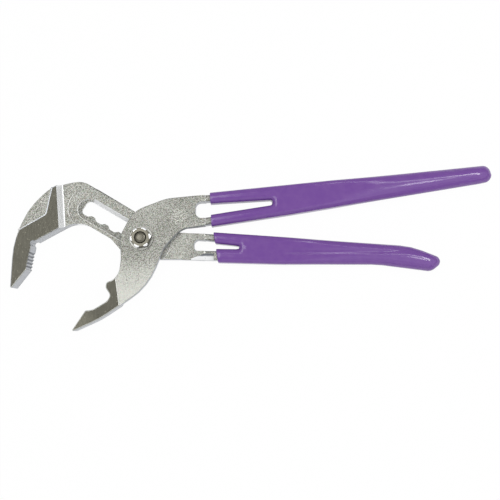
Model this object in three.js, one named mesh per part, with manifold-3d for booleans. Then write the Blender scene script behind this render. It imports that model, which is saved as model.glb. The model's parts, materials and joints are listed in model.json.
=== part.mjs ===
import * as THREE from "three";
import { mergeVertices } from "three/addons/utils/BufferGeometryUtils.js";
import Module from "manifold-3d";

// Water pump pliers in millimetres. The pivot axis is Z, and the pliers lie on their back at z = 0.

// Head and lap joint
const HEAD_THICKNESS = 12;
const GROUND_RISE = 0.4;
const LAP_LEVEL = 6;
const LAP_GAP = 0.3;
const LAP_STEP = 1;
const FACE_EDGE = 0.6;

// Adjusting slot in the rear lever
const SLOT_ANGLE = 30.4;
const SEAT_COUNT = 5;
const SEAT_PITCH = 10.8;
const NOTCH_DEPTH = 1.75;
const NOTCH_MOUTH = 8.3;
const NOTCH_FLOOR = 4.6;
const NOTCH_ROUND = 2.4;
const BUMP_ROUND = 0.9;
const SLOT_HEADROOM = 1.2;
const SLOT_LEDGE_BELOW = 2.6;
const SLOT_LEDGE_ABOVE = 1;
const SLOT_SLOPE_REACH = 2.5;
const SLOT_SLOPE_DROP = 2.65;
const SLOT_RECESS_DEPTH = 1.45;
const WEB_THICKNESS = 1.9;
const ARM_HALF_WIDTH = 10.5;

// Pivot bolt, washer and nut
const NECK_RADIUS = 3.4;
const SHANK_RADIUS = 3.9;
const THREAD_RADIUS = 3.7;
const PIVOT_GAP = 0.3;
const SEAT_GAP = 0.2;
const BOLT_HEAD_RADIUS = 6.6;
const BOLT_END_RISE = 0.5;
const BOLT_DOME = 0.9;
const WASHER_RADIUS = 8;
const WASHER_THICKNESS = 1.2;
const NUT_FLATS = 13;
const NUT_HEIGHT = 4;
const NUT_CHAMFER = 0.9;
const NUT_TURN = 8;

// Hub and pockets of the lap
const HUB_RADIUS = 13.5;
const HUB_GAP = 0.3;
const HANDLE_POCKET_RADIUS = 19.5;

// Jaws
const JAW_LIFT = 0.95;
const TOOTH_COUNT = 5;
const TOOTH_PITCH = 2.35;
const TOOTH_DEPTH = 0.9;
const GROOVE_RADIUS = 2;
const JAW_STEP_RUN = 2.2;
const JAW_STEP_FILLET = 1.7;
const REAR_STEP_TILT = 5.2;
const REAR_STEP_RUN = 20.5;
const FRONT_STEP_TILT = 8.8;

// Handles and grips
const HANDLE_THICKNESS = 8.4;
const HANDLE_EDGE = 1.6;
const RAMP_START = 31;
const RAMP_END = 43;
const BAR_ROOT = 5;
const FRONT_HANDLE_END = 239.2;
const REAR_HANDLE_END = 203.5;
const LEG_CHAMFER_WIDTH = 4.4;
const LEG_CHAMFER_DROP = 3.6;
const LEG_CHAMFER_START = 33.5;
const GRIP_GAP = 0.3;
const GRIP_WALL = 1.2;
const FRONT_GRIP_START = 47.6;
const REAR_GRIP_START = 49.2;
const FRONT_GRIP_LEAN = 3;
const REAR_GRIP_LEAN = 9;

// Derived levels and places
const RAD = Math.PI / 180;
const MIDDLE = HEAD_THICKNESS / 2;
const FACE_LEVEL = HEAD_THICKNESS - GROUND_RISE;
const REAR_LAP = LAP_LEVEL - LAP_GAP / 2;
const FRONT_LAP = LAP_LEVEL + LAP_GAP / 2;
const REAR_BODY = REAR_LAP + LAP_STEP;
const FRONT_BODY = FRONT_LAP + LAP_STEP;
const HANDLE_BOTTOM = MIDDLE - HANDLE_THICKNESS / 2;
const HANDLE_TOP = MIDDLE + HANDLE_THICKNESS / 2;
const CHANNEL_HALF = NECK_RADIUS + PIVOT_GAP;
const CHANNEL_TOP = CHANNEL_HALF + SLOT_HEADROOM;
const NOTCH_LEVEL = -CHANNEL_HALF - NOTCH_DEPTH;
const RECESS_HALF = (CHANNEL_TOP + SLOT_LEDGE_ABOVE - NOTCH_LEVEL + SLOT_LEDGE_BELOW) / 2;
const RECESS_SHIFT = CHANNEL_TOP + SLOT_LEDGE_ABOVE - RECESS_HALF;
const WEB_TOP = REAR_LAP - SLOT_RECESS_DEPTH;
const WEB_BOTTOM = WEB_TOP - WEB_THICKNESS;
const TRAVEL = (SEAT_COUNT - 1) * SEAT_PITCH;
const WASHER_BOTTOM = FACE_LEVEL + SEAT_GAP;
const NUT_BOTTOM = WASHER_BOTTOM + WASHER_THICKNESS + SEAT_GAP;
const BOLT_TOP = NUT_BOTTOM + NUT_HEIGHT + BOLT_END_RISE;
const BEYOND = 60;
const ARC_STEP = 9 * RAD;

// A place u along the slot towards the jaw and n across it towards the upper edge
const SLOT_COS = Math.cos(SLOT_ANGLE * RAD);
const SLOT_SIN = Math.sin(SLOT_ANGLE * RAD);
const along = (u, n) => [n * SLOT_SIN - u * SLOT_COS, n * SLOT_COS + u * SLOT_SIN];
const JAW_BASE = along(TRAVEL, JAW_LIFT);
const onJaw = (x, y, r) => [JAW_BASE[0] + x, JAW_BASE[1] + y, r];
const armPlace = (u, n, r) => [...along(u, n), r];

const wasm = await Module();
wasm.setup();

// Turns a closed geometry into a solid for cutting and joining
function solid(geometry) {
  geometry.deleteAttribute("normal");
  geometry.deleteAttribute("uv");
  const welded = mergeVertices(geometry, 1e-4);
  const mesh = new wasm.Mesh({
    numProp: 3,
    vertProperties: new Float32Array(welded.attributes.position.array),
    triVerts: new Uint32Array(welded.index.array),
  });
  return new wasm.Manifold(mesh);
}

// Corners of [x, y, round], counter-clockwise, moved out by an offset and rounded with short chords
function rounded(corners, offset = 0) {
  const points = [];
  corners.forEach(([x, y, round], i) => {
    const before = corners[(i + corners.length - 1) % corners.length];
    const after = corners[(i + 1) % corners.length];
    const inward = new THREE.Vector2(x - before[0], y - before[1]).normalize();
    const outward = new THREE.Vector2(after[0] - x, after[1] - y).normalize();
    const turn = Math.atan2(inward.cross(outward), inward.dot(outward));
    const side = Math.sign(turn) || 1;
    const miter = offset / (1 + inward.dot(outward));
    const corner = new THREE.Vector2(x, y);
    corner.x += miter * (inward.y + outward.y);
    corner.y -= miter * (inward.x + outward.x);
    const room = 0.49 * Math.min(Math.hypot(x - before[0], y - before[1]), Math.hypot(after[0] - x, after[1] - y));
    const slope = Math.tan(Math.abs(turn) / 2);
    const fitted = Math.min(round, room / Math.max(slope, 1e-6));
    const radius = Math.max(fitted + side * offset, 0);
    const tangent = radius * slope;
    const start = corner.clone().addScaledVector(inward, -tangent);
    const centre = new THREE.Vector2(start.x - side * radius * inward.y, start.y + side * radius * inward.x);
    const steps = radius > 0 ? Math.max(1, Math.ceil(Math.abs(turn) / ARC_STEP)) : 0;
    for (let k = 0; k <= steps; k += 1) {
      const spoke = steps > 0 ? start.clone().rotateAround(centre, (turn * k) / steps) : corner;
      points.push(spoke);
    }
  });
  return points;
}

// A plate from z = low to z = high with rounded edges
function plate(outline, low, high, edge = 0, segments = 2, hole = null) {
  const shape = new THREE.Shape(outline);
  if (hole) {
    shape.holes.push(new THREE.Path(hole));
  }
  const geometry = new THREE.ExtrudeGeometry(shape, {
    depth: high - low - 2 * edge,
    bevelEnabled: edge > 0,
    bevelThickness: edge,
    bevelSize: edge,
    bevelOffset: -edge,
    bevelSegments: segments,
  });
  return solid(geometry.translate(0, 0, low + edge));
}

// A solid of revolution about a vertical axis from pairs of radius and level
function turned(profile, x = 0, y = 0, segments = 64) {
  const points = profile.map(([radius, level]) => new THREE.Vector2(radius, level));
  const geometry = new THREE.LatheGeometry(points, segments);
  return solid(geometry.rotateX(Math.PI / 2).translate(x, y, 0));
}

const cylinder = (radius, low, high, x = 0, y = 0) =>
  turned([[0, low], [radius, low], [radius, high], [0, high]], x, y);

// A side profile in X and Z, carried along Y on both sides of the pivot
function sideProfile(points) {
  const shape = new THREE.Shape(points.map(([x, z]) => new THREE.Vector2(x, z)));
  const geometry = new THREE.ExtrudeGeometry(shape, { depth: 4 * BEYOND, bevelEnabled: false });
  return solid(geometry.rotateX(Math.PI / 2).translate(0, 2 * BEYOND, 0));
}

// A capsule from seat 0 to seat 4, shifted across the slot
function capsule(half, shift, low, high) {
  const corners = [
    armPlace(-half, shift + half, half),
    armPlace(TRAVEL + half, shift + half, half),
    armPlace(TRAVEL + half, shift - half, half),
    armPlace(-half, shift - half, half),
  ];
  return plate(rounded(corners), low, high);
}

// Rear lever outline: jaw tip, gripping edge, throat, arm, body, arm again and back over the jaw
const TOOTH_START = onJaw(-39.8, -43.4, 0.8);
const GROOVE_CORNER = onJaw(-37, -25.7, 0.8);
const rearOutline = [
  onJaw(-50.5, -57.6, 0.8),
  TOOTH_START,
  GROOVE_CORNER,
  onJaw(-7.2, -9.1, 17),
  armPlace(19.2, -ARM_HALF_WIDTH, 8),
  [-9.2, -13.5, 10],
  [30, -13.6, 20],
  [RAMP_END, -14.4, 0.7],
  [RAMP_END, 3.5, 0.7],
  [18.5, 5.1, 12],
  onJaw(-5, 17.9, 13),
  onJaw(-22.3, 15, 30),
  onJaw(-39.5, -0.6, 55),
  onJaw(-49.7, -25.1, 60),
];

// Rear handle from the end of the ramp, with its fork
const rearHandle = [
  [RAMP_END, -14.4, HANDLE_EDGE],
  [REAR_HANDLE_END - 108.5, -15.75, 200],
  [REAR_HANDLE_END - 43.5, -15.8, 60],
  [REAR_HANDLE_END - 7.5, -20.4, 5.5],
  [REAR_HANDLE_END, -14.3, 4.4],
  [REAR_HANDLE_END - 20.8, -6, 50],
  [RAMP_END, 3.5, HANDLE_EDGE],
];
const rearFork = [
  [35.2, -8.1, 3.2],
  [67.4, -8.5, 2.2],
  [67.4, -3.5, 2.2],
  [35.2, -0.1, 3.2],
];

// Front lever outline: jaw tip, outer edge, waist, neck, head, throat, hook and grip curve
const frontOutline = [
  [-45.8, -62.9, 0.65],
  [-27, -54.4, 60],
  [4.9, -32.7, 45],
  [15.4, -5.8, 14],
  [27, 6.6, 14],
  [RAMP_END, 9.4, 0.7],
  [RAMP_END, 30.2, 0.7],
  [16.5, 27.5, 22],
  [-5.7, 19, 20],
  [-14.6, 2, 16],
  [-13.6, -14, 20],
  [-14.6, -23.4, 12],
  [-18.6, -28.2, 6],
  [-22.9, -29.6, 2.2],
  [-23.4, -33.4, 3],
  [-20, -38.2, 3],
  [-22, -42.2, 6],
  [-31.5, -48.1, 12],
  [-36.5, -48.6, 0.8],
];

// Front handle from the end of the ramp, with its fork
const frontHandle = [
  [RAMP_END, 9.4, HANDLE_EDGE],
  [FRONT_HANDLE_END - 144.2, 17.4, 200],
  [FRONT_HANDLE_END - 8.2, 40.1, 20],
  [FRONT_HANDLE_END, 41.9, 3.7],
  [FRONT_HANDLE_END - 2.6, 50.2, 3.9],
  [RAMP_END, 30.2, HANDLE_EDGE],
];
const frontFork = [
  [36.2, 13.5, 4.2],
  [90, 22.1, 3.1],
  [90, 28.6, 3.1],
  [36.2, 25.2, 4.2],
];

// Ground jaw faces stand a little above the forged faces
const rearGround = [
  onJaw(-BEYOND, -BEYOND, 0),
  onJaw(0, -BEYOND, 0),
  onJaw(0, 30, 0),
  onJaw(-24, 30, 0),
  onJaw(-24.3, 12.4, 6),
  onJaw(-27.8, -6.5, 4),
  onJaw(-BEYOND, -25.4, 0),
];
const FRONT_STEP = [-16.8, -25.4];
const frontStepX = (y) => FRONT_STEP[0] + (FRONT_STEP[1] - y) * Math.tan(FRONT_STEP_TILT * RAD);
const frontGround = [
  [-BEYOND, -2 * BEYOND, 0],
  [frontStepX(-2 * BEYOND), -2 * BEYOND, 0],
  [frontStepX(-20), -20, 0],
  [-BEYOND, -20, 0],
];

// A handle's outline with both of its edges carried on to another left end
function carriedTo(left, handle) {
  const edgeAt = (near, far) => near[1] + ((far[1] - near[1]) * (left - near[0])) / (far[0] - near[0]);
  const below = [left, edgeAt(handle[0], handle[1]), HANDLE_EDGE * 1.1];
  const above = [left, edgeAt(handle.at(-1), handle.at(-2)), HANDLE_EDGE * 1.1];
  return [below, ...handle.slice(1, -1), above];
}

// The notched hole: a straight upper edge, and a notch under each seat
function slotOutline() {
  const corners = [
    armPlace(-CHANNEL_HALF, CHANNEL_TOP, CHANNEL_HALF),
    armPlace(TRAVEL + CHANNEL_HALF, CHANNEL_TOP, CHANNEL_HALF),
    armPlace(TRAVEL + CHANNEL_HALF, -CHANNEL_HALF, BUMP_ROUND),
  ];
  for (let seat = SEAT_COUNT - 1; seat >= 0; seat -= 1) {
    const u = seat * SEAT_PITCH;
    if (seat < SEAT_COUNT - 1) {
      corners.push(armPlace(u + NOTCH_MOUTH / 2, -CHANNEL_HALF, BUMP_ROUND));
    }
    corners.push(armPlace(u + NOTCH_FLOOR / 2, NOTCH_LEVEL, NOTCH_ROUND));
    corners.push(armPlace(u - NOTCH_FLOOR / 2, NOTCH_LEVEL, NOTCH_ROUND));
    if (seat > 0) {
      corners.push(armPlace(u - NOTCH_MOUTH / 2, -CHANNEL_HALF, BUMP_ROUND));
    }
  }
  corners.push(armPlace(-CHANNEL_HALF, -CHANNEL_HALF, BUMP_ROUND));
  return rounded(corners);
}

// The sloping upper side of the recess, along the slot
function slotSlope() {
  const rise = REAR_LAP - SLOT_SLOPE_DROP;
  const profile = [
    new THREE.Vector2(CHANNEL_TOP, rise),
    new THREE.Vector2(CHANNEL_TOP + SLOT_SLOPE_REACH, REAR_LAP),
    new THREE.Vector2(CHANNEL_TOP + SLOT_SLOPE_REACH, HEAD_THICKNESS),
    new THREE.Vector2(CHANNEL_TOP - CHANNEL_HALF, HEAD_THICKNESS),
    new THREE.Vector2(CHANNEL_TOP - CHANNEL_HALF, rise),
  ];
  const geometry = new THREE.ExtrudeGeometry(new THREE.Shape(profile), { depth: TRAVEL, bevelEnabled: false });
  const cut = solid(geometry.rotateX(Math.PI / 2).rotateZ(Math.PI / 2).translate(-TRAVEL, 0, 0));
  return cut.rotate([0, 0, -SLOT_ANGLE]);
}

// The cuts between the teeth, along the gripping edge from the tip's corner
function toothCuts() {
  const start = new THREE.Vector2(TOOTH_START[0], TOOTH_START[1]);
  const way = new THREE.Vector2(GROOVE_CORNER[0], GROOVE_CORNER[1]).sub(start).normalize();
  const out = new THREE.Vector2(way.y, -way.x);
  const place = (run, rise) => start.clone().addScaledVector(way, run).addScaledVector(out, rise);
  const points = [place(0, TOOTH_DEPTH), place(TOOTH_COUNT * TOOTH_PITCH, TOOTH_DEPTH)];
  for (let i = TOOTH_COUNT - 1; i >= 0; i -= 1) {
    points.push(place((i + 1) * TOOTH_PITCH, 0.05));
    points.push(place((i + 0.5) * TOOTH_PITCH, -TOOTH_DEPTH));
  }
  points.push(place(0, 0.05));
  return plate(points, -1, HEAD_THICKNESS + 1);
}

// The jaw side of a step: a sloping wall with a fillet at its foot, through a place and tilted
function jawSide(level, place, tilt) {
  const shape = new THREE.Shape();
  const foot = JAW_STEP_RUN + JAW_STEP_FILLET;
  const bend = level + JAW_STEP_FILLET * 0.8;
  shape.moveTo(-2 * BEYOND, -BEYOND);
  shape.lineTo(foot, -BEYOND);
  shape.lineTo(foot, level);
  shape.quadraticCurveTo(JAW_STEP_RUN * 1.1, level, JAW_STEP_RUN * 0.9, bend);
  shape.lineTo(0, HEAD_THICKNESS);
  shape.lineTo(0, BEYOND);
  shape.lineTo(-2 * BEYOND, BEYOND);
  const geometry = new THREE.ExtrudeGeometry(shape, { depth: 4 * BEYOND, bevelEnabled: false, curveSegments: 5 });
  geometry.rotateX(Math.PI / 2).translate(0, 2 * BEYOND, 0);
  return solid(geometry).rotate([0, 0, tilt]).translate([place[0], place[1], 0]);
}

// A slope along the lower edge of the rear handle's root, up to the grip
function legChamfer() {
  const low = rearHandle[0][1];
  const profile = [
    new THREE.Vector2(low + LEG_CHAMFER_WIDTH, HANDLE_TOP),
    new THREE.Vector2(low + LEG_CHAMFER_WIDTH, HEAD_THICKNESS),
    new THREE.Vector2(low - LEG_CHAMFER_WIDTH, HEAD_THICKNESS),
    new THREE.Vector2(low - LEG_CHAMFER_WIDTH, HANDLE_TOP - 2 * LEG_CHAMFER_DROP),
  ];
  const depth = REAR_GRIP_START - GRIP_GAP - LEG_CHAMFER_START;
  const geometry = new THREE.ExtrudeGeometry(new THREE.Shape(profile), { depth, bevelEnabled: false });
  return solid(geometry.rotateX(Math.PI / 2).rotateZ(Math.PI / 2).translate(LEG_CHAMFER_START, 0, 0));
}

function makeRearLever() {
  const outline = rounded(rearOutline);
  const bodyProfile = [
    [-2 * BEYOND, 0],
    [RAMP_START, 0],
    [RAMP_END, HANDLE_BOTTOM],
    [5 * BEYOND, HANDLE_BOTTOM],
    [5 * BEYOND, HANDLE_TOP],
    [RAMP_END, HANDLE_TOP],
    [RAMP_START, REAR_BODY],
    [-2 * BEYOND, REAR_BODY],
  ];
  const fork = rounded(rearFork);
  const bar = plate(
    rounded(carriedTo(RAMP_START - BAR_ROOT, rearHandle)), HANDLE_BOTTOM, HANDLE_TOP, HANDLE_EDGE, 3, fork,
  );
  const body = plate(outline, 0, HANDLE_TOP)
    .subtract(plate(fork, -1, HEAD_THICKNESS + 1))
    .add(bar)
    .intersect(sideProfile(bodyProfile));
  const jaw = plate(outline, 0, HEAD_THICKNESS, FACE_EDGE)
    .intersect(jawSide(REAR_BODY, onJaw(-REAR_STEP_RUN, 0), REAR_STEP_TILT));
  const keepGround = plate(rounded(rearGround), -1, HEAD_THICKNESS + 1);
  const lowered = jaw.subtract(cylinder(2 * BEYOND, FACE_LEVEL, HEAD_THICKNESS + 1).subtract(keepGround));
  const pocket = capsule(HUB_RADIUS + HUB_GAP, 0, REAR_LAP, HEAD_THICKNESS + 1)
    .add(cylinder(HANDLE_POCKET_RADIUS, REAR_LAP, HEAD_THICKNESS + 1));
  const groove = onJaw(-36.1, -26);
  return body
    .add(lowered)
    .subtract(pocket)
    .subtract(plate(slotOutline(), -1, HEAD_THICKNESS))
    .subtract(capsule(RECESS_HALF, RECESS_SHIFT, WEB_TOP, HEAD_THICKNESS))
    .subtract(slotSlope())
    .subtract(legChamfer())
    .subtract(capsule(BOLT_HEAD_RADIUS + PIVOT_GAP, 0, -1, WEB_BOTTOM))
    .subtract(cylinder(GROOVE_RADIUS, -1, HEAD_THICKNESS + 1, groove[0], groove[1]))
    .subtract(toothCuts());
}

function makeFrontLever() {
  const outline = rounded(frontOutline);
  const bodyProfile = [
    [-2 * BEYOND, FRONT_LAP],
    [RAMP_START, FRONT_LAP],
    [RAMP_END, HANDLE_BOTTOM],
    [5 * BEYOND, HANDLE_BOTTOM],
    [5 * BEYOND, HANDLE_TOP],
    [RAMP_END, HANDLE_TOP],
    [RAMP_START, FACE_LEVEL],
    [-2 * BEYOND, FACE_LEVEL],
  ];
  const fork = rounded(frontFork);
  const bar = plate(
    rounded(carriedTo(RAMP_START - BAR_ROOT, frontHandle)), HANDLE_BOTTOM, HANDLE_TOP, HANDLE_EDGE, 3, fork,
  );
  const head = plate(outline, HANDLE_BOTTOM - FACE_EDGE, FACE_LEVEL, FACE_EDGE);
  const body = head
    .subtract(plate(fork, -1, HEAD_THICKNESS + 1))
    .add(bar)
    .intersect(sideProfile(bodyProfile));
  const relief = cylinder(2 * BEYOND, -1, FRONT_BODY).subtract(cylinder(HUB_RADIUS, -2, HEAD_THICKNESS));
  const relieved = body.subtract(relief.intersect(sideProfile([
    [-2 * BEYOND, -1],
    [RAMP_START, -1],
    [RAMP_START, HEAD_THICKNESS],
    [-2 * BEYOND, HEAD_THICKNESS],
  ])));
  const overturned = jawSide(HEAD_THICKNESS - FRONT_BODY, [0, 0], 0)
    .rotate([180, 0, 0])
    .translate([0, 0, HEAD_THICKNESS])
    .rotate([0, 0, FRONT_STEP_TILT])
    .translate([FRONT_STEP[0], FRONT_STEP[1], 0]);
  const belowHub = new THREE.BoxGeometry(4 * BEYOND, 4 * BEYOND, 4 * BEYOND);
  belowHub.translate(0, FRONT_STEP[1] / 2 - 2 * BEYOND, 0);
  const keepGround = plate(rounded(frontGround), -1, HEAD_THICKNESS + 1);
  const jaw = plate(outline, 0, HEAD_THICKNESS, FACE_EDGE)
    .intersect(overturned)
    .intersect(solid(belowHub))
    .subtract(cylinder(2 * BEYOND, FACE_LEVEL, HEAD_THICKNESS + 1).subtract(keepGround));
  return relieved
    .add(jaw)
    .subtract(cylinder(SHANK_RADIUS + PIVOT_GAP, -1, HEAD_THICKNESS + 1));
}

// A dipped sleeve around a forked handle, open where it starts
function makeGrip(handle, fork, start, lean) {
  const skin = GRIP_GAP + GRIP_WALL;
  const whole = carriedTo(RAMP_START - BEYOND / 2, handle);
  const outer = plate(
    rounded(whole, skin), HANDLE_BOTTOM - skin, HANDLE_TOP + skin, HANDLE_EDGE + skin, 4, rounded(fork, -skin),
  );
  const inner = plate(
    rounded(whole, GRIP_GAP), HANDLE_BOTTOM - GRIP_GAP, HANDLE_TOP + GRIP_GAP, HANDLE_EDGE, 3, rounded(fork, -GRIP_GAP),
  );
  const before = new THREE.BoxGeometry(2 * BEYOND, 4 * BEYOND, 4 * BEYOND);
  before.translate(-BEYOND, 0, 0).rotateZ(lean * RAD).translate(start, 0, 0);
  return outer.subtract(inner).subtract(solid(before));
}

function makeBolt() {
  const headTop = WEB_BOTTOM - PIVOT_GAP;
  return turned([
    [0, 0],
    [BOLT_HEAD_RADIUS, 0],
    [BOLT_HEAD_RADIUS, headTop],
    [NECK_RADIUS, headTop],
    [NECK_RADIUS, REAR_LAP],
    [SHANK_RADIUS, FRONT_LAP],
    [SHANK_RADIUS, FACE_LEVEL],
    [THREAD_RADIUS, FACE_LEVEL + 0.1],
    [THREAD_RADIUS, BOLT_TOP - BOLT_DOME],
    [THREAD_RADIUS * 0.86, BOLT_TOP - BOLT_DOME * 0.45],
    [THREAD_RADIUS * 0.5, BOLT_TOP - BOLT_DOME * 0.1],
    [0, BOLT_TOP],
  ]);
}

function makeWasher() {
  const top = WASHER_BOTTOM + WASHER_THICKNESS;
  const hole = THREAD_RADIUS + PIVOT_GAP;
  return cylinder(WASHER_RADIUS, WASHER_BOTTOM, top).subtract(cylinder(hole, WASHER_BOTTOM - 1, top + 1));
}

function makeNut() {
  const corner = NUT_FLATS / 2 / Math.cos(30 * RAD);
  const hexagon = [];
  for (let i = 0; i < 6; i += 1) {
    hexagon.push(new THREE.Vector2(corner * Math.cos((i * 60 + NUT_TURN) * RAD), corner * Math.sin((i * 60 + NUT_TURN) * RAD)));
  }
  const top = NUT_BOTTOM + NUT_HEIGHT;
  const blank = plate(hexagon, NUT_BOTTOM, top);
  const chamfer = turned([
    [0, NUT_BOTTOM - 1],
    [corner + 1, NUT_BOTTOM - 1],
    [corner + 1, top - NUT_CHAMFER - 0.3],
    [NUT_FLATS / 2 - 0.6, top],
    [0, top],
  ]);
  return blank.intersect(chamfer).subtract(cylinder(THREAD_RADIUS + PIVOT_GAP, NUT_BOTTOM - 1, top + 1));
}

function mesh(name, body, colour) {
  const data = body.getMesh();
  const geometry = new THREE.BufferGeometry();
  geometry.setAttribute("position", new THREE.BufferAttribute(data.vertProperties, 3));
  geometry.setIndex(new THREE.BufferAttribute(data.triVerts, 1));
  const piece = new THREE.Mesh(geometry, new THREE.MeshStandardMaterial({ color: colour }));
  piece.name = name;
  return piece;
}

const STEEL = 0xafaca5;
const BRIGHT_STEEL = 0x8f8c84;
const VINYL = 0x7850a0;
const pliers = new THREE.Group();
pliers.add(mesh("rear_lever", makeRearLever(), STEEL));
pliers.add(mesh("front_lever", makeFrontLever(), STEEL));
pliers.add(mesh("pivot_bolt", makeBolt(), BRIGHT_STEEL));
pliers.add(mesh("pivot_washer", makeWasher(), BRIGHT_STEEL));
pliers.add(mesh("pivot_nut", makeNut(), BRIGHT_STEEL));
pliers.add(mesh("rear_grip", makeGrip(rearHandle, rearFork, REAR_GRIP_START, REAR_GRIP_LEAN), VINYL));
pliers.add(mesh("front_grip", makeGrip(frontHandle, frontFork, FRONT_GRIP_START, FRONT_GRIP_LEAN), VINYL));

export default pliers;
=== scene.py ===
"""Water pump pliers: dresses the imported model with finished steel, dipped grips and a plain white stage."""
import json
import math

import bmesh
import bpy
from bpy.props import FloatProperty, FloatVectorProperty, IntProperty, PointerProperty
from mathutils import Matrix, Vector


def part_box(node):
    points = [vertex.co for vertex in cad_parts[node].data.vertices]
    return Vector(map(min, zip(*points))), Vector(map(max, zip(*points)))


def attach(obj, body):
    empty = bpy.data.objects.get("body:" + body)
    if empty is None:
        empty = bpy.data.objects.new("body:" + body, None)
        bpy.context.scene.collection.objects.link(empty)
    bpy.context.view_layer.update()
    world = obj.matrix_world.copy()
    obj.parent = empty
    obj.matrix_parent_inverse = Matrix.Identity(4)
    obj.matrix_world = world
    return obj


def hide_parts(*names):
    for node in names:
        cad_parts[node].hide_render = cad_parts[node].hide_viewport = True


bl_info = {
    "name": "Water Pump Pliers",
    "version": (1, 0, 0),
    "blender": (4, 5, 0),
    "location": "View3D > Sidebar > Pliers",
    "description": "Dresses the pliers' levers, pivot and grips, and sets the stage",
    "category": "Object",
}

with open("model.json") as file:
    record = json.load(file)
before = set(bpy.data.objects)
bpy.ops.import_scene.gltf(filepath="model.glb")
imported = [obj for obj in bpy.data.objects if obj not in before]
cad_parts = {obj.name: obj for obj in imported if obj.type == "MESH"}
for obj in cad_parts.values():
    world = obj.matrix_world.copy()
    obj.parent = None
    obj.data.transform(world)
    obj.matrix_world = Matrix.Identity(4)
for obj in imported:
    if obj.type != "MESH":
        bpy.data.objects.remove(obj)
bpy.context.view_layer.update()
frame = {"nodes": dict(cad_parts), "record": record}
MM = 0.001

# Levels and directions from the frame
GROUND_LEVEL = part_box("rear_lever")[1][2]
SLOT_AXIS = frame["record"]["behaviour"]["joints"][0]["axis"]
SLOT_ACROSS = (SLOT_AXIS[1], -SLOT_AXIS[0])

# Where the levers' finishes lie
SCUFF = (25 * MM, 15 * MM, 11.6 * MM)
# painted sheen where the light falls on the lower jaw's ground tip
SHEEN_TIP = (-40 * MM, -57 * MM, 12 * MM)
TEETH_END = -66 * MM
TEETH_RISE = (-23 * MM, -2.5 * MM)
STEP_END = -57 * MM
STEP_SPLAY = 0.8 * MM
JAW_SLOPE_RUN = (-64 * MM, -48 * MM)
SLOT_SLOPE_RUN = (-40 * MM, 5 * MM)
SLOT_SLOPE_TOP = 6 * MM
ARM_RUN = (-45 * MM, 5 * MM)
ARM_LOWEST = -12 * MM
NECK_RUN = (20 * MM, 46 * MM)
NECK_RISE = (0.0, 14 * MM)
LEG_RUN = (33 * MM, 50 * MM)
LEG_TOP = -9 * MM
LEG_SHADE = (8.5 * MM, 9.1 * MM)
LEDGE_LEVELS = (4 * MM, 5 * MM)
LOW_WALL = 2 * MM
EDGE_LEVEL = 5 * MM
SHARP_TURN = math.radians(50)

# Form of the dipped grips
GRIP_EDGE = 3.1 * MM
VALLEY_PLACE = -8.6 * MM
VALLEY_WIDTH = 2.0 * MM
VALLEY_DEPTH = 0.85 * MM
VALLEY_START = (30 * MM, 60 * MM)
VALLEY_END = (45 * MM, 15 * MM)
TIP_REACH = 9 * MM
TIP_DROP = 0.55
TIP_STATIONS = (1.6 * MM, 0.8 * MM, 0.3 * MM)
SIDE_LEVELS = (2.2 * MM, 4.2 * MM, 6.0 * MM, 7.8 * MM, 9.8 * MM)
PRONG_REACH = 8 * MM
CELL = 0.65 * MM
CELLS_ACROSS = range(-16, 17)
SLIVER = 0.12 * MM
SMOOTHINGS = 4
SMOOTH_RUN = 40 * MM

# Each lamp's name, place, size and watts
LAMPS = (
    ("key_lamp", (-0.25, 0.12, 0.85), (0.50, 0.50), 2.4),
    ("fill_lamp", (0.60, -0.10, 0.60), (0.90, 0.90), 1.5),
    ("front_lamp", (-0.10, -0.60, 0.50), (1.00, 0.80), 1.05),
    ("handle_lamp", (0.50, 0.215, 0.70), (0.26, 0.06), 0.60),
    ("low_handle_lamp", (0.38, 0.062, 0.70), (0.12, 0.05), 0.22),
    ("strip_lamp", (0.40, 0.30, 0.70), (0.60, 0.05), 0.5),
)
LAMP_AIM = (0.07, 0.0, 0.0)
WORLD_LIGHT = 0.45

# Floor and camera
FLOOR_SIZE = 3.0
FLOOR_DROP = 0.2 * MM
FLOOR_GLOW = 0.975
CAMERA_PLACE = (73.37 * MM, -65.36 * MM, 479.6 * MM)
CAMERA_TILT = math.radians(7.0)
SENSOR = 36.0
FOCAL_PIXELS = 700.0
PHOTO_PIXELS = 500.0


class PliersSizes(bpy.types.PropertyGroup):
    """Small sizes of the dressed pieces."""

    edge: FloatProperty(
        name="Edge", description="Rounding of the forged edges", default=0.4 * MM, min=0.0, unit="LENGTH")
    lip: FloatProperty(
        name="Lip", description="Rounding of the grips' open ends", default=0.8 * MM, min=0.0, unit="LENGTH")
    grain: FloatProperty(
        name="Grain", description="Size of the plated steel's grain", default=0.6 * MM, unit="LENGTH")
    segments: IntProperty(
        name="Segments", description="Steps in each rounded edge", default=2, min=1, max=6)


def colour_property(name, words, value):
    """Makes one colour setting."""
    return FloatVectorProperty(
        name=name, description=words, subtype="COLOR", size=3, min=0.0, max=1.0, default=value)


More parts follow.
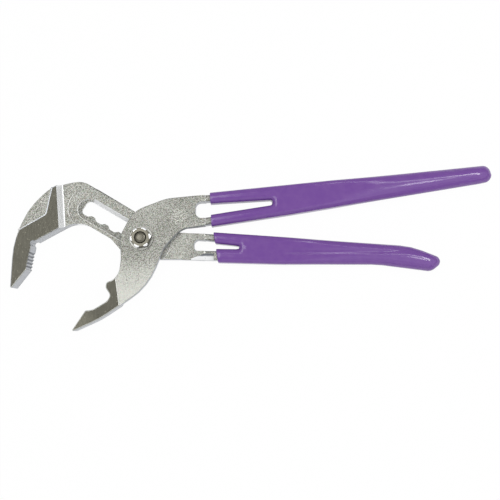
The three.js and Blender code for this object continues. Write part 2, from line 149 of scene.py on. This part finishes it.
class PliersColours(bpy.types.PropertyGroup):
    """Colours of the finishes, as scene-linear values."""

    plate_light: colour_property("Plate light", "Bright grains of the plated steel", (0.565, 0.57, 0.525))
    plate_dark: colour_property("Plate dark", "Dark grains of the plated steel", (0.105, 0.105, 0.085))
    ground: colour_property("Ground steel", "Ground jaw faces", (0.070, 0.067, 0.051))
    # machined slopes are bare steel; their near-white, mostly matt colour is painted reflection of the lit
    # surroundings
    bright: colour_property("Bright steel", "Machined slopes", (0.93, 0.94, 0.95))
    side: colour_property("Side steel", "Side faces of the forgings", (0.50, 0.52, 0.55))
    # painted shade for tooth flanks, the front neck's lower wall and the leg's line
    side_shade: colour_property("Side dark", "Shaded tooth flanks and recess", (0.16, 0.17, 0.19))
    # painted highlight: a near-white colour standing in for light caught on rounded edges and low step walls,
    # not wear
    edge: colour_property("Edge steel", "Worn edges of the forgings", (0.85, 0.85, 0.82))
    fastener: colour_property("Fastener steel", "Bolt end and nut", (0.165, 0.155, 0.122))
    washer: colour_property("Washer steel", "Washer under the nut", (0.42, 0.42, 0.39))
    vinyl: colour_property("Vinyl", "Dipped grips", (0.175, 0.072, 0.312))
    vinyl_deep: colour_property("Vinyl deep", "Darker patches of the grips", (0.160, 0.062, 0.302))


class Wire:
    """A number in a shader tree that takes part in sums."""

    def __init__(self, finish, socket):
        self.finish = finish
        self.socket = socket

    def sum_with(self, operation, first, second):
        return self.finish.node("ShaderNodeMath", {"operation": operation}, {0: first, 1: second})

    def __add__(self, other):
        return self.sum_with("ADD", self, other)

    def __radd__(self, other):
        return self.sum_with("ADD", other, self)

    def __sub__(self, other):
        return self.sum_with("SUBTRACT", self, other)

    def __rsub__(self, other):
        return self.sum_with("SUBTRACT", other, self)

    def __mul__(self, other):
        return self.sum_with("MULTIPLY", self, other)

    def __rmul__(self, other):
        return self.sum_with("MULTIPLY", other, self)


class Finish:
    """A material whose nodes are added one by one."""

    def __init__(self, name):
        self.material = bpy.data.materials.new(name)
        self.material.use_nodes = True
        self.tree = self.material.node_tree
        self.tree.nodes.clear()

    def node(self, kind, settings, values, output=0):
        made = self.tree.nodes.new(kind)
        for name, value in settings.items():
            setattr(made, name, value)
        for name, value in values.items():
            if isinstance(value, Wire):
                self.tree.links.new(value.socket, made.inputs[name])
            else:
                made.inputs[name].default_value = value
        return Wire(self, made.outputs[output]) if made.outputs else None

    def place(self, stretch=(1.0, 1.0, 1.0), turn=0.0):
        here = self.node("ShaderNodeTexCoord", {}, {}, "Object")
        return self.node(
            "ShaderNodeMapping", {},
            {"Vector": here, "Scale": stretch, "Rotation": (0.0, 0.0, turn)})

    def noise(self, where, size, detail=2.0, rough=0.5):
        return self.node(
            "ShaderNodeTexNoise", {},
            {"Vector": where, "Scale": 1.0 / size, "Detail": detail, "Roughness": rough})

    def spread(self, value, low, high, new_low=0.0, new_high=1.0):
        return self.node(
            "ShaderNodeMapRange", {"clamp": True},
            {"Value": value, "From Min": low, "From Max": high, "To Min": new_low, "To Max": new_high})

    def mix(self, factor, first, second):
        ends = [end if isinstance(end, Wire) else (*end, 1.0) for end in (first, second)]
        return self.node("ShaderNodeMix", {"data_type": "RGBA"}, {0: factor, 6: ends[0], 7: ends[1]}, 2)

    def bump(self, height, depth, strength=1.0):
        return self.node("ShaderNodeBump", {}, {"Height": height, "Distance": depth, "Strength": strength})

    def shade(self, values):
        shader = self.node("ShaderNodeBsdfPrincipled", {}, values)
        self.node("ShaderNodeOutputMaterial", {}, {"Surface": shader})
        return self.material


class Sky(Finish):
    """The world's light, whose nodes are added in the same way."""

    def __init__(self, world):
        self.tree = world.node_tree
        self.tree.nodes.clear()


def plated_finish(name, sizes, colours, shade):
    """Speckled plating with one scuffed patch, and painted light that makes it paler towards the lower jaw;
    the shade factor scales it as painted light or shade.
    """
    finish = Finish(name)
    here = finish.place()
    grain = finish.noise(here, sizes.grain, 2.0, 0.6)
    fine = finish.noise(here, sizes.grain * 0.5, 1.0)
    broad = finish.noise(here, 18 * MM, 2.0)
    sparks = finish.spread(finish.noise(here, sizes.grain * 1.5, 0.0), 0.55, 0.68)
    down = finish.node("ShaderNodeSeparateXYZ", {}, {0: here}, 1)
    # painted light: paler towards the lower jaw, where the light falls most
    lower_jaw_light = finish.spread(down, -14 * MM, -38 * MM)
    far = finish.node("ShaderNodeVectorMath", {"operation": "DISTANCE"}, {0: here, 1: SCUFF}, 1)
    scuff = finish.spread(far, 7 * MM, 2 * MM) * sparks
    tone = grain * 0.55 + fine * 0.45 + (broad - 0.5) * 0.12 + lower_jaw_light * 0.19 + scuff * 0.3
    # painted light or shade: the whole copy is scaled by the shade factor
    dark = tuple(part * shade for part in colours.plate_dark)
    light = tuple(part * shade for part in colours.plate_light)
    steel = finish.mix(finish.spread(tone, 0.42, 0.595), dark, light)
    tints = finish.node("ShaderNodeTexNoise", {}, {"Vector": here, "Scale": 1.0 / (sizes.grain * 1.3)}, 1)
    tinted = finish.node(
        "ShaderNodeMix", {"data_type": "RGBA", "blend_type": "SOFT_LIGHT"},
        {0: 0.35, 6: steel, 7: tints}, 2)
    return finish.shade({
        "Base Color": tinted,
        "Metallic": 0.7,
        "Roughness": finish.spread(fine, 0.3, 0.7, 0.32, 0.55),
        "Normal": finish.bump(grain + fine, 0.12 * MM, 0.6),
    })


def ground_finish(colours):
    """Dark ground faces with fine strokes and flecks, and a painted sheen that lightens the lower jaw's tip.
    """
    finish = Finish("ground_steel")
    strokes = finish.noise(finish.place((1.0, 0.08, 1.0), math.radians(-20)), 0.5 * MM, 2.0, 0.6)
    flecks = finish.spread(finish.noise(finish.place((1.0, 0.6, 1.0)), 1.0 * MM, 1.0), 0.66, 0.74)
    broad = finish.noise(finish.place(), 22 * MM, 2.0)
    scratch = finish.spread(strokes, 0.60, 0.75)
    # painted sheen: the ground face grows lighter towards the lower jaw's tip
    far = finish.node("ShaderNodeVectorMath", {"operation": "DISTANCE"}, {0: finish.place(), 1: SHEEN_TIP}, 1)
    tip = finish.spread(far, 13 * MM, 3 * MM)
    pale_fleck_and_sheen = tuple(min(1.0, part * 3.2) for part in colours.ground)
    fleck_and_sheen = scratch * 0.25 + flecks * 0.8 + (broad - 0.5) * 0.2 + tip * 0.3
    tone = finish.mix(fleck_and_sheen, colours.ground, pale_fleck_and_sheen)
    return finish.shade({
        "Base Color": tone,
        "Metallic": 0.6,
        "Roughness": finish.spread(strokes, 0.3, 0.7, 0.28, 0.46),
        "Normal": finish.bump(strokes, 0.03 * MM, 0.5),
    })


def leg_finish(colours):
    """Slope of the lower leg, painted near white as reflection, with a painted shade line near its top."""
    finish = Finish("leg_slope_steel")
    here = finish.place()
    height = finish.node("ShaderNodeSeparateXYZ", {}, {0: here}, 2)
    wander = finish.noise(here, 3 * MM, 2.0)
    shaded = finish.spread(height + (wander - 0.5) * (0.8 * MM), *LEG_SHADE)
    return finish.shade({
        "Base Color": finish.mix(shaded, colours.bright, colours.side_shade),
        "Metallic": 0.3,
        "Roughness": finish.spread(wander, 0.3, 0.7, 0.25, 0.4),
    })


def machined_finish(name, colour, rough, metal, depth=0.72):
    """Plain machined steel with fine upright strokes."""
    finish = Finish(name)
    strokes = finish.noise(finish.place((1.0, 1.0, 0.15)), 0.4 * MM, 2.0)
    broad = finish.noise(finish.place(), 6 * MM, 2.0)
    deep = tuple(part * depth for part in colour)
    return finish.shade({
        "Base Color": finish.mix(finish.spread(strokes * 0.5 + broad * 0.5, 0.3, 0.65), deep, colour),
        "Metallic": metal,
        "Roughness": finish.spread(broad, 0.3, 0.7, rough * 0.8, rough * 1.2),
        "Normal": finish.bump(strokes, 0.03 * MM, 0.4),
    })


def vinyl_finish(colours):
    """Glossy dipped vinyl with a slight ripple."""
    finish = Finish("vinyl_dip")
    here = finish.place()
    broad = finish.noise(here, 5 * MM, 3.0, 0.6)
    ripple = finish.noise(here, 9 * MM, 1.0)
    peel = finish.noise(here, 1.2 * MM, 1.0)
    return finish.shade({
        "Base Color": finish.mix(finish.spread(broad, 0.35, 0.65), colours.vinyl_deep, colours.vinyl),
        "Roughness": finish.spread(broad, 0.3, 0.7, 0.11, 0.16),
        "Normal": finish.bump(ripple * 0.97 + peel * 0.03, 0.25 * MM, 0.22),
        "IOR": 1.5,
    })


def copy_of(node):
    """A merged copy of a CAD node, with its flat faces joined, ready for edge work."""
    body = bmesh.new()
    body.from_mesh(frame["nodes"][node].data)
    bmesh.ops.remove_doubles(body, verts=body.verts, dist=1e-6)
    bmesh.ops.dissolve_limit(body, angle_limit=math.radians(0.6), verts=body.verts, edges=body.edges)
    return body


def round_edges(body, width, least, segments, above, wanted=None):
    """Rounds the outward edges above a level that turn by more than the least angle."""
    sharp = []
    for edge in body.edges:
        low = min(vert.co.z for vert in edge.verts)
        middle = (edge.verts[0].co + edge.verts[1].co) / 2
        turned = edge.is_convex and edge.calc_face_angle(0.0) > least
        placed = low > above and not in_teeth(middle)
        finishes = {face.material_index for face in edge.link_faces}
        if turned and placed and (wanted is None or wanted in finishes):
            sharp.append(edge)
    made = bmesh.ops.bevel(
        body, geom=sharp, offset=width, offset_type="OFFSET", affect="EDGES",
        segments=segments, profile=0.5, material=-1, clamp_overlap=False)
    for face in made["faces"]:
        if wanted is not None:
            face.material_index = wanted


def piece_from(body, name, node, finishes, firm=True):
    """Makes the finished piece that stands for a CAD node and rides on its body."""
    mesh = bpy.data.meshes.new(name)
    body.to_mesh(mesh)
    body.free()
    for finish in finishes:
        mesh.materials.append(finish)
    mesh.shade_smooth()
    piece = bpy.data.objects.new(name, mesh)
    bpy.context.scene.collection.objects.link(piece)
    bodies = frame["record"]["behaviour"]["bodies"]
    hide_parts(node)
    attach(piece, next(owner for owner, nodes in bodies.items() if node in nodes))
    if firm:
        piece.modifiers.new("face_normals", "WEIGHTED_NORMAL").keep_sharp = True


PLATED, GROUND, BRIGHT, SIDE, EDGE, SHADED, LEG, LEDGE = range(8)
FASTENER, LIT_CORNER, WASHER, SHADED_FLAT = range(4)


def inside(value, run):
    return run[0] < value < run[1]


def in_teeth(place):
    return place.x < TEETH_END and inside(place.y, TEETH_RISE)


def lever_finish(face):
    """Picks a lever face's finish from its place and slope."""
    normal = face.normal
    centre = face.calc_center_median()
    across = normal.x * SLOT_ACROSS[0] + normal.y * SLOT_ACROSS[1]
    heights = [vert.co.z for vert in face.verts]
    sloping = 0.2 < normal.z < 0.96
    below_ground = centre.z < GROUND_LEVEL - 0.5 * MM
    if normal.z > 0.97 and centre.z > GROUND_LEVEL - 0.1 * MM:
        return GROUND
    if sloping and normal.x < -0.1 and centre.x < STEP_END and centre.z > GROUND_LEVEL - 0.5 * MM:
        return SIDE
    # painted reflection: the jaw's slope, the slot's slope and the arm's lower wall take the near-white sheen
    # colour
    if sloping and normal.x > 0.25 and inside(centre.x, JAW_SLOPE_RUN) and below_ground:
        return BRIGHT
    if sloping and across < -0.4 and inside(centre.x, SLOT_SLOPE_RUN) and centre.z < SLOT_SLOPE_TOP:
        return BRIGHT
    upright = abs(normal.z) < 0.3
    if upright and across < -0.4 and inside(centre.x, ARM_RUN) and centre.y > ARM_LOWEST:
        return BRIGHT
    # painted shade: the front lever's neck wall that faces down, where shadow falls
    if upright and normal.y < -0.4 and inside(centre.x, NECK_RUN) and inside(centre.y, NECK_RISE):
        return SHADED
    if sloping and normal.y < -0.3 and inside(centre.x, LEG_RUN) and centre.y < LEG_TOP:
        return LEG
    # painted shade on the sunken ledge of the recess
    if normal.z > 0.97 and inside(centre.z, LEDGE_LEVELS):
        return LEDGE
    # painted highlight on low step walls
    if abs(normal.z) < 0.2 and max(heights) - min(heights) < LOW_WALL and max(heights) > LEDGE_LEVELS[0]:
        return EDGE
    # painted shade: tooth flanks that face away from the light
    if in_teeth(centre) and normal.x > 0.3 and normal.y < -0.3 and abs(normal.z) < 0.2:
        return SHADED
    if normal.z < 0.6:
        return SIDE
    return PLATED


def splay_step(body, run):
    """Slopes the low step beside the rear jaw's ground face."""
    shift = {}
    for face in body.faces:
        centre = face.calc_center_median()
        heights = [vert.co.z for vert in face.verts]
        upright = abs(face.normal.z) < 0.1 and face.normal.x < -0.1
        low_wall = max(heights) - min(heights) < 0.7 * MM and min(heights) > GROUND_LEVEL - 0.7 * MM
        if upright and low_wall and centre.x < STEP_END - 1 * MM:
            for vert in face.verts:
                if vert.co.z < GROUND_LEVEL - 0.2 * MM:
                    shift.setdefault(vert, []).append(face.normal.copy())
    for vert, normals in shift.items():
        vert.co += sum(normals, Vector()) / len(normals) * run
    body.normal_update()


def cut_across(body, place, normal):
    """Cuts the whole mesh along one plane, keeping both sides."""
    everything = [*body.verts, *body.edges, *body.faces]
    bmesh.ops.bisect_plane(body, geom=everything, dist=1e-7, plane_co=place, plane_no=normal)


def girth(body, stations):
    """Reads the handle's middle and half width at each station along it."""
    rows = {station: [] for station in stations}
    for vert in body.verts:
        for station in stations:
            if abs(vert.co.x - station) < 1e-6:
                rows[station].append(vert.co.y)
    found = [(station, min(ys), max(ys)) for station, ys in rows.items() if ys]
    return [(station, (top + bottom) / 2, (top - bottom) / 2) for station, bottom, top in found]


def between(table, x):
    """Reads the handle's middle and half width at any place along it."""
    if x <= table[0][0]:
        return table[0][1:]
    for first, second in zip(table, table[1:]):
        if x <= second[0]:
            share = (x - first[0]) / (second[0] - first[0])
            return tuple(a + (b - a) * share for a, b in zip(first[1:], second[1:]))
    return table[-1][1:]


def smooth_step(value, low, high):
    share = min(1.0, max(0.0, (value - low) / (high - low)))
    return share * share * (3.0 - 2.0 * share)


def handle_form(node, slices, round_from, round_to, dip):
    """Reads a handle's run, middle and half widths from its CAD grip."""
    low, high = (Vector(corner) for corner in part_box(node))
    length = high.x - low.x
    stations = [low.x + length * index / slices for index in range(1, slices)]
    stations += [high.x - reach for reach in TIP_STATIONS]
    stations.sort()
    body = copy_of(node)
    for station in stations:
        cut_across(body, (station, 0.0, 0.0), (1.0, 0.0, 0.0))
    table = girth(body, stations)
    body.free()
    rounding = (low.x + length * round_from, low.x + length * round_to)
    return {"low": low, "high": high, "table": table, "rounding": rounding, "dip": dip}


def cut_grid(body, form, lengthwise):
    """Cuts a handle into small cells that can follow a round section."""
    table = form["table"]
    for station, _, _ in table:
        cut_across(body, (station, 0.0, 0.0), (1.0, 0.0, 0.0))
    (start_x, start_y, _), (end_x, end_y, _) = table[len(table) // 3], table[-6]
    slope = (end_y - start_y) / (end_x - start_x)
    for index in lengthwise:
        cut_across(body, (start_x, start_y + index * CELL, 0.0), (-slope, 1.0, 0.0))
    for level in SIDE_LEVELS:
        cut_across(body, (0.0, 0.0, level), (0.0, 0.0, 1.0))


def skin_reach(u, v, half, tall):
    """Tells how far out a place lies in a round-cornered section: 1 on its skin, less inside."""
    corner = min(GRIP_EDGE, half, tall)
    flat = max(u / half, v / tall, 1e-6)
    if u / flat <= half - corner or v / flat <= tall - corner:
        return flat
    along = u * (half - corner) + v * (tall - corner)
    far = u * u + v * v
    spare = (half - corner) ** 2 + (tall - corner) ** 2 - corner ** 2
    return far / (along + math.sqrt(max(along * along - far * spare, 0.0)))


def round_section(body, form):
    """Turns a handle's flat section into a round one towards its end."""
    low, high, table = form["low"], form["high"], form["table"]
    middle = (low.z + high.z) / 2
    tall = (high.z - low.z) / 2
    for vert in body.verts:
        if vert.co.x < low.x:
            continue
        centre, half = between(table, min(vert.co.x, table[-1][0]))
        aside = (vert.co.y - centre) / half
        up = (vert.co.z - middle) / tall
        turn = smooth_step(vert.co.x, *form["rounding"])
        oval = max(math.hypot(aside, up), 1e-6)
        reach = skin_reach(abs(aside) * half, abs(up) * tall, half, tall)
        shrink = 1.0 + turn * (reach / oval - 1.0)
        sunk = 1.0 - TIP_DROP * smooth_step(vert.co.x, high.x - TIP_REACH, high.x) ** 2
        valley = math.exp(-((vert.co.y - VALLEY_PLACE) / VALLEY_WIDTH) ** 2)
        begun = smooth_step(vert.co.x, low.x + VALLEY_START[0], low.x + VALLEY_START[1])
        ended = smooth_step(vert.co.x, high.x - VALLEY_END[0], high.x - VALLEY_END[1])
        dip = form["dip"] * valley * begun * (1.0 - ended) if up > 0.5 else 0.0
        vert.co.y = centre + aside * half * shrink
        vert.co.z = middle + up * tall * shrink * sunk - dip


def handle_forms():
    """Gives both handles' forms: slices, where the rounding runs, and the valley's depth."""
    return {
        "rear_grip": handle_form("rear_grip", 60, 0.30, 0.70, VALLEY_DEPTH),
        "front_grip": handle_form("front_grip", 76, 0.40, 0.74, 0.0),
    }


class PLIERS_OT_levers(bpy.types.Operator):
    """Dress the two forged levers"""

    bl_idname = "pliers.levers"
    bl_label = "Levers"

    def execute(self, context):
        sizes = context.scene.pliers_sizes
        colours = context.scene.pliers_colours
        finishes = [
            ground_finish(colours),
            # bare machined steel with low metal and a near-white colour, as painted reflection
            machined_finish("machined_sheen_steel", colours.bright, 0.3, 0.3, 0.92),
            machined_finish("side_steel", colours.side, 0.35, 0.5),
            machined_finish("edge_highlight_steel", colours.edge, 0.3, 0.5),
            machined_finish("shaded_steel", colours.side_shade, 0.4, 0.5),
            leg_finish(colours),
            # painted shade: a darker copy of the plating for the recess ledge
            plated_finish("recess_shade_steel", sizes, colours, 0.72),
        ]
        # lit and shaded copies of one plating: each lever's copy is scaled to the light that falls on it, as
        # painted light and shade
        plated = {
            "rear_lever": plated_finish("rear_plated_steel", sizes, colours, 0.99),
            "front_lever": plated_finish("front_plated_steel", sizes, colours, 0.94),
        }
        forms = handle_forms()
        for node, grip in (("rear_lever", "rear_grip"), ("front_lever", "front_grip")):
            body = copy_of(node)
            splay_step(body, STEP_SPLAY)
            for face in body.faces:
                face.material_index = lever_finish(face)
            # rounded edges beside the low walls take the painted edge highlight too
            round_edges(body, sizes.edge, SHARP_TURN, sizes.segments, EDGE_LEVEL, EDGE)
            round_edges(body, sizes.edge / 2, SHARP_TURN, sizes.segments, EDGE_LEVEL)
            cut_grid(body, forms[grip], [])
            round_section(body, forms[grip])
            piece_from(body, node + "_forging", node, [plated[node], *finishes])
        return {"FINISHED"}


def pivot_finish(node, face, corner):
    """Picks a finish: painted highlights on the nut's lit corner chamfers, painted shade on its flats, a
    plain washer.
    """
    centre = face.calc_center_median()
    if node == "pivot_washer":
        return WASHER
    if node == "pivot_bolt":
        return FASTENER
    # painted shade: the nut's side flats take the dark ground colour
    if abs(face.normal.z) < 0.2:
        return SHADED_FLAT
    turn = (math.degrees(math.atan2(centre.y, centre.x) - corner) + 30) % 60 - 30
    # painted highlight: corner chamfers facing the light
    lit = face.normal.y - face.normal.x > -0.65
    at_corner = 0.2 < face.normal.z < 0.95 and abs(turn) < 15
    return LIT_CORNER if lit and at_corner else FASTENER


class PLIERS_OT_pivot(bpy.types.Operator):
    """Dress the bolt, washer and nut"""

    bl_idname = "pliers.pivot"
    bl_label = "Pivot"

    def execute(self, context):
        sizes = context.scene.pliers_sizes
        colours = context.scene.pliers_colours
        finishes = [
            machined_finish("fastener_steel", colours.fastener, 0.3, 0.6),
            machined_finish("fastener_highlight", colours.bright, 0.2, 0.5, 0.92),
            machined_finish("washer_steel", colours.washer, 0.35, 0.7),
            # painted shade for the nut's sides, in the dark ground colour
            machined_finish("fastener_shaded", colours.ground, 0.4, 0.3),
        ]
        for node in ("pivot_bolt", "pivot_washer", "pivot_nut"):
            body = copy_of(node)
            widest = max(body.verts, key=lambda vert: vert.co.xy.length)
            corner = math.atan2(widest.co.y, widest.co.x)
            for face in body.faces:
                face.material_index = pivot_finish(node, face, corner)
            round_edges(body, sizes.edge / 2, SHARP_TURN, sizes.segments, EDGE_LEVEL)
            piece_from(body, node + "_finished", node, finishes)
        return {"FINISHED"}


def lip_edges(body, low):
    """Finds the outer edges of the grip's open ends."""
    backward = [face for face in body.faces if face.normal.x < -0.9]
    rims = [face for face in backward if face.calc_center_median().x < low.x + PRONG_REACH]
    places = [face.calc_center_median().y for face in rims]
    divide = (max(places) + min(places)) / 2
    found = []
    for side in (-1, 1):
        prong = [face for face in rims if (face.calc_center_median().y - divide) * side > 0]
        corners = {vert for face in prong for vert in face.verts}
        y = (max(vert.co.y for vert in corners) + min(vert.co.y for vert in corners)) / 2
        z = (max(vert.co.z for vert in corners) + min(vert.co.z for vert in corners)) / 2
        for edge in {edge for face in prong for edge in face.edges}:
            others = [face for face in edge.link_faces if face not in prong]
            middle = (edge.verts[0].co + edge.verts[1].co) / 2
            outward = others and others[0].normal.y * (middle.y - y) + others[0].normal.z * (middle.z - z)
            if others and outward > 0:
                found.append(edge)
    return found


class PLIERS_OT_grips(bpy.types.Operator):
    """Dress the two dipped grips"""

    bl_idname = "pliers.grips"
    bl_label = "Grips"

    def execute(self, context):
        sizes = context.scene.pliers_sizes
        colours = context.scene.pliers_colours
        vinyl = vinyl_finish(colours)
        for node, form in handle_forms().items():
            body = copy_of(node)
            lips = lip_edges(body, form["low"])
            bmesh.ops.bevel(
                body, geom=lips, offset=sizes.lip, offset_type="OFFSET", affect="EDGES",
                segments=sizes.segments + 2, profile=0.5, material=-1, clamp_overlap=True)
            cut_grid(body, form, CELLS_ACROSS)
            bmesh.ops.dissolve_degenerate(body, dist=SLIVER, edges=body.edges)
            round_section(body, form)
            rounded = [vert for vert in body.verts if vert.co.x > form["high"].x - SMOOTH_RUN]
            for _ in range(SMOOTHINGS):
                bmesh.ops.smooth_vert(body, verts=rounded, factor=0.5, use_axis_z=True)
            piece_from(body, node + "_dip", node, [vinyl], False)
        return {"FINISHED"}


class PLIERS_OT_stage(bpy.types.Operator):
    """Set the floor, the light and the camera"""

    bl_idname = "pliers.stage"
    bl_label = "Stage"

    def execute(self, context):
        scene = context.scene
        scene.view_settings.view_transform = "Standard"
        self.add_floor(scene)
        self.add_world(scene)
        for lamp in LAMPS:
            self.add_lamp(scene, *lamp)
        lens = bpy.data.cameras.new("photo_camera")
        lens.sensor_width = SENSOR
        lens.lens = SENSOR * FOCAL_PIXELS / PHOTO_PIXELS
        camera = bpy.data.objects.new("photo_camera", lens)
        camera.location = CAMERA_PLACE
        camera.rotation_euler = (CAMERA_TILT, 0.0, 0.0)
        scene.collection.objects.link(camera)
        scene.camera = camera
        return {"FINISHED"}

    def add_floor(self, scene):
        body = bmesh.new()
        bmesh.ops.create_grid(body, x_segments=1, y_segments=1, size=FLOOR_SIZE)
        bmesh.ops.translate(body, verts=body.verts, vec=(0.0, 0.0, -FLOOR_DROP))
        mesh = bpy.data.meshes.new("floor")
        body.to_mesh(mesh)
        body.free()
        finish = Finish("white_floor")
        paint = finish.node("ShaderNodeBsdfDiffuse", {}, {"Color": (0.9, 0.9, 0.9, 1.0)})
        glow = finish.node("ShaderNodeEmission", {}, {"Color": (1.0, 1.0, 1.0, 1.0), "Strength": 1.0})
        seen = finish.node("ShaderNodeLightPath", {}, {}, "Is Camera Ray")
        mirrored = finish.node("ShaderNodeLightPath", {}, {}, "Is Glossy Ray")
        through = finish.node("ShaderNodeLightPath", {}, {}, "Is Transmission Ray")
        share = (seen + mirrored + through) * FLOOR_GLOW
        blend = finish.node("ShaderNodeMixShader", {}, {0: share, 1: paint, 2: glow})
        finish.node("ShaderNodeOutputMaterial", {}, {"Surface": blend})
        mesh.materials.append(finish.material)
        floor = bpy.data.objects.new("floor", mesh)
        scene.collection.objects.link(floor)

    def add_world(self, scene):
        world = bpy.data.worlds.new("studio")
        world.use_nodes = True
        sky = Sky(world)
        seen = sky.node("ShaderNodeLightPath", {}, {}, "Is Camera Ray")
        level = WORLD_LIGHT + seen * (1.0 - WORLD_LIGHT)
        light = sky.node("ShaderNodeBackground", {}, {"Color": (1.0, 1.0, 1.0, 1.0), "Strength": level})
        sky.node("ShaderNodeOutputWorld", {}, {"Surface": light})
        scene.world = world

    def add_lamp(self, scene, name, place, size, watts):
        lamp = bpy.data.lights.new(name, "AREA")
        lamp.shape = "RECTANGLE"
        lamp.size = size[0]
        lamp.size_y = size[1]
        lamp.energy = watts
        item = bpy.data.objects.new(name, lamp)
        item.location = place
        aim = Vector(LAMP_AIM) - item.location
        item.rotation_euler = aim.to_track_quat("-Z", "Y").to_euler()
        scene.collection.objects.link(item)


class PLIERS_PT_sidebar(bpy.types.Panel):
    """Buttons and settings of the pliers"""

    bl_idname = "PLIERS_PT_sidebar"
    bl_label = "Pliers"
    bl_space_type = "VIEW_3D"
    bl_region_type = "UI"
    bl_category = "Pliers"

    def draw(self, context):
        for group in (context.scene.pliers_sizes, context.scene.pliers_colours):
            for name in group.__annotations__:
                self.layout.prop(group, name)
        for operator in OPERATORS:
            self.layout.operator(operator.bl_idname)


OPERATORS = (PLIERS_OT_levers, PLIERS_OT_pivot, PLIERS_OT_grips, PLIERS_OT_stage)
CLASSES = (PliersSizes, PliersColours, *OPERATORS, PLIERS_PT_sidebar)


def register():
    for item in CLASSES:
        bpy.utils.register_class(item)
    bpy.types.Scene.pliers_sizes = PointerProperty(type=PliersSizes)
    bpy.types.Scene.pliers_colours = PointerProperty(type=PliersColours)


def unregister():
    del bpy.types.Scene.pliers_colours
    del bpy.types.Scene.pliers_sizes
    for item in reversed(CLASSES):
        bpy.utils.unregister_class(item)


def main():
    register()
    bpy.ops.pliers.levers()
    bpy.ops.pliers.pivot()
    bpy.ops.pliers.grips()
    bpy.ops.pliers.stage()


if __name__ == "__main__":
    main()
